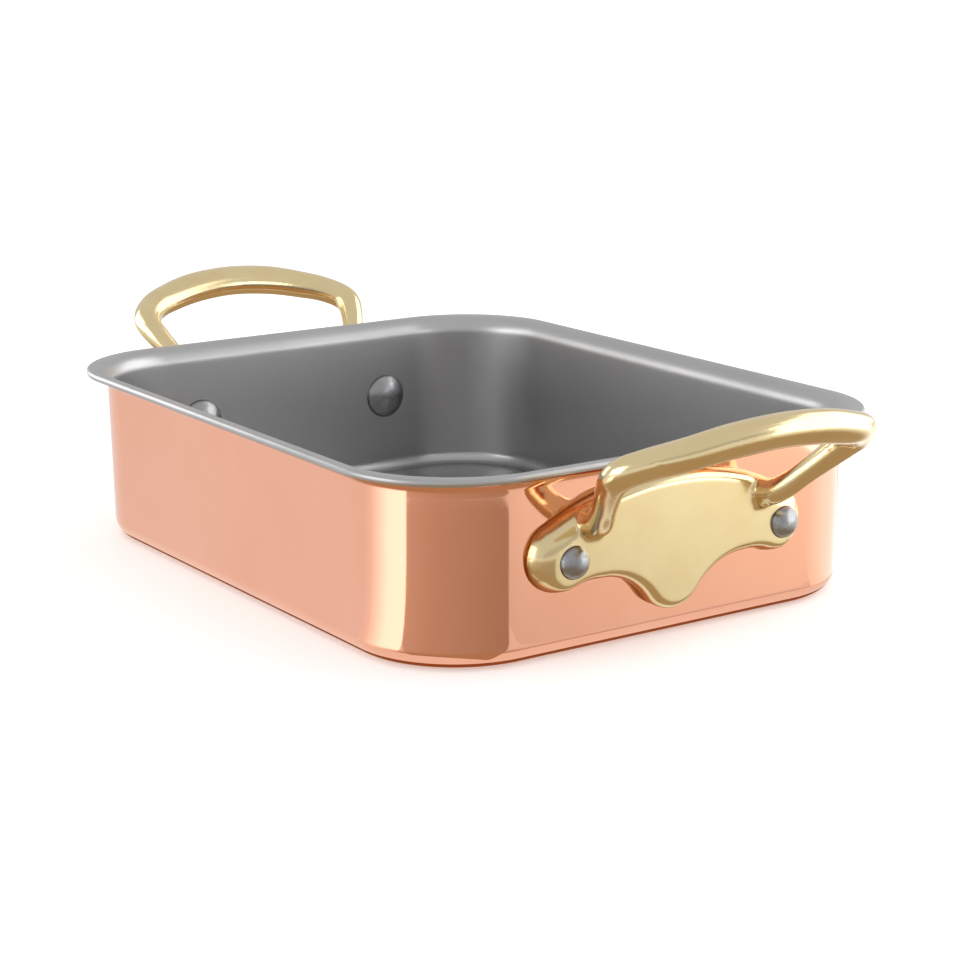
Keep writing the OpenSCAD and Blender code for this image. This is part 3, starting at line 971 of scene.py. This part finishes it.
# The dark cards' glow paints darker bands into the metal's reflections, the white cards' glow paints bright
# ones
dark_card = add_fan(
    "dark_card", near_apex, near=14 * mm, far=123 * mm, start=-78.9, end=17.3,
    tones=[(-78.5, (0.66, 0.57, 0.48)), (-50, (0.56, 0.46, 0.37)), (17, (0.43, 0.35, 0.27))],
    rounding=dark_round, height=dark_height)
white_card_left = add_fan(
    "white_card_left", near_apex, near=13 * mm, far=200 * mm, start=-128, end=-78.9,
    tones=[
        (-127.5, (0.9, 0.9, 0.9)), (-118, (1.0, 1.0, 1.0)),
        (-98, (1.9, 1.9, 1.9)), (-79, (2.0, 2.0, 2.0))],
    rounding=card_round, height=card_height)
add_fan(
    "white_card_right", right_apex, near=13 * mm, far=160 * mm, start=48, end=112,
    tones=[(48.5, (1.15, 1.13, 1.05)), (70, (1.4, 1.4, 1.4)), (111, (1.5, 1.5, 1.5))],
    rounding=card_round, height=card_height)
add_fan(
    "dark_edge_card", right_apex, near=13 * mm, far=70 * mm, start=112, end=132,
    tones=[(112.5, (0.5, 0.45, 0.45)), (131, (0.7, 0.68, 0.66))],
    rounding=card_round, height=card_height)
copy_to_rear(dark_card)
copy_to_rear(white_card_left)


def add_mat(name, half_length, half_width, corner, height, start, end, steep):
    """A flat card with round corners, shaded from one tone to another along Y, and its tone from above."""
    bpy.ops.object.select_all(action="DESELECT")
    bpy.ops.mesh.primitive_plane_add(size=1 * mm)
    mat = bpy.context.object
    mat.name = name
    bpy.ops.object.mode_set(mode="EDIT")
    bpy.ops.mesh.delete(type="VERT")
    add_round_face(half_length, half_width, corner, height)
    bpy.ops.object.mode_set(mode="OBJECT")
    material, shader = glowing(name, 1)
    tree = material.node_tree
    place = add_node(
        tree, "ShaderNodeSeparateXYZ", -400, 0,
        Vector=add_node(tree, "ShaderNodeTexCoord", -600, 0).outputs["Object"])
    along = spread(tree, -200, 0, place.outputs["Y"], -half_width, half_width, 0.0, 1.0)
    low = blend_colours(tree, 0, 0, along, start, end)
    lit = blend_colours(tree, 200, 0, low_glance(tree), steep, end)
    tree.links.new(low, lit.node.inputs[7])
    tree.links.new(lit, shader.inputs["Emission Color"])
    mat.data.materials.append(material)
    only_reflected(mat)
    return mat


# Glowing mats, seen only in reflections, paint the table's light and shade: beside the end wall a painted
# glow that grows brighter to the right, round the foot a painted bright ring, and under the pan a dark orange
# painted shadow standing for the copper's own shadow
end_mat = add_mat(
    "end_mat", half_length=60 * mm, half_width=85 * mm, corner=5 * mm, height=0.1 * mm,
    start=(0.8, 0.79, 0.74), end=(1.36, 1.34, 1.22), steep=steep_tone)
end_mat.location = (133 * mm, 59 * mm, 0)
FOOT_SHARE = 0.75
foot_corner = bottom_centre + bottom_round * FOOT_SHARE
# The first mat is a painted bright ring round the foot, the second a painted shadow under the pan
for mat, wider, height, tone in (
        ("foot_mat", 4 * mm, 0.3 * mm, (0.95, 0.93, 0.9)), ("under_shadow_mat", 0, 0.4 * mm, (0.3, 0.11, 0.04))):
    add_mat(
        mat, half_length=corner_x + foot_corner + wider, half_width=corner_y + foot_corner + wider,
        corner=foot_corner + wider, height=height, start=tone, end=tone, steep=tone)


def add_screen(name, place, towards, width, height, tone):
    """An upright card that glows, facing a point."""
    bpy.ops.object.select_all(action="DESELECT")
    bpy.ops.mesh.primitive_plane_add(size=1)
    screen = bpy.context.object
    screen.name = name
    screen.scale = (width, height, 1)
    screen.location = place
    screen.rotation_euler = (Vector(towards) - Vector(place)).to_track_quat("Z", "Y").to_euler()
    screen.data.materials.append(glowing(name, tone)[0])
    only_reflected(screen)
    return screen


screen_right = add_screen(
    "white_screen_right", place=(137 * mm, 82 * mm, 56 * mm), towards=(99 * mm, 0, 56 * mm),
    width=120 * mm, height=92 * mm, tone=2.6)
copy_to_rear(screen_right, lift=14 * mm)
screen_front = add_screen(
    "dark_screen_front", place=(0.6, -0.05, 0.07), towards=(0, 0, 0.07), width=1, height=0.14, tone=0.55)
copy_to_rear(screen_front)


def add_soft_box(name, place, towards, width, height, radiance):
    """A rectangular lamp facing a point, not seen directly."""
    bpy.ops.object.light_add(type="AREA")
    lamp = bpy.context.object
    lamp.name = name
    lamp.data.shape = "RECTANGLE"
    lamp.data.size = width
    lamp.data.size_y = height
    lamp.data.energy = radiance * math.pi * width * height
    lamp.location = place
    lamp.rotation_euler = (Vector(towards) - Vector(place)).to_track_quat("-Z", "Y").to_euler()
    lamp.visible_camera = False


def around(azimuth, distance, height):
    """A place round the pan."""
    return distance * math.cos(math.radians(azimuth)), distance * math.sin(math.radians(azimuth)), height


box_distance = 0.8
right_box_height = 0.43
left_box_height = 0.22
add_soft_box(
    "soft_box_right", place=around(76, box_distance, right_box_height), towards=(0, 0, right_box_height),
    width=1.0, height=0.84, radiance=1.7)
add_soft_box(
    "soft_box_left", place=around(-100, box_distance, left_box_height), towards=(0, 0, left_box_height),
    width=0.58, height=0.44, radiance=2.2)

# The camera stands where the photograph's did, worked out from the pan's own outline
camera_azimuth = math.radians(55.995)
camera_elevation = math.radians(13.859)
camera_roll = math.radians(-0.3146)
camera_distance = 459.396 * mm
camera_right = 4.1832 * mm
camera_up = -2.9151 * mm
aim_height = 18 * mm
back = Vector((
    math.sin(camera_azimuth) * math.cos(camera_elevation),
    -math.cos(camera_azimuth) * math.cos(camera_elevation), math.sin(camera_elevation)))
level = Vector((math.cos(camera_azimuth), math.sin(camera_azimuth), 0))
upright = back.cross(level)
bpy.ops.object.camera_add()
camera = bpy.context.object
camera.location = (
    Vector((0, 0, aim_height)) + back * camera_distance + level * camera_right + upright * camera_up)
right = level * math.cos(camera_roll) + upright * math.sin(camera_roll)
top = upright * math.cos(camera_roll) - level * math.sin(camera_roll)
camera.rotation_euler = Matrix((right, top, back)).transposed().to_euler()
camera.data.sensor_width = 36
camera.data.lens = 86.729
camera.data.clip_start = 0.01
bpy.context.scene.camera = camera
bpy.context.scene.view_settings.view_transform = "Standard"
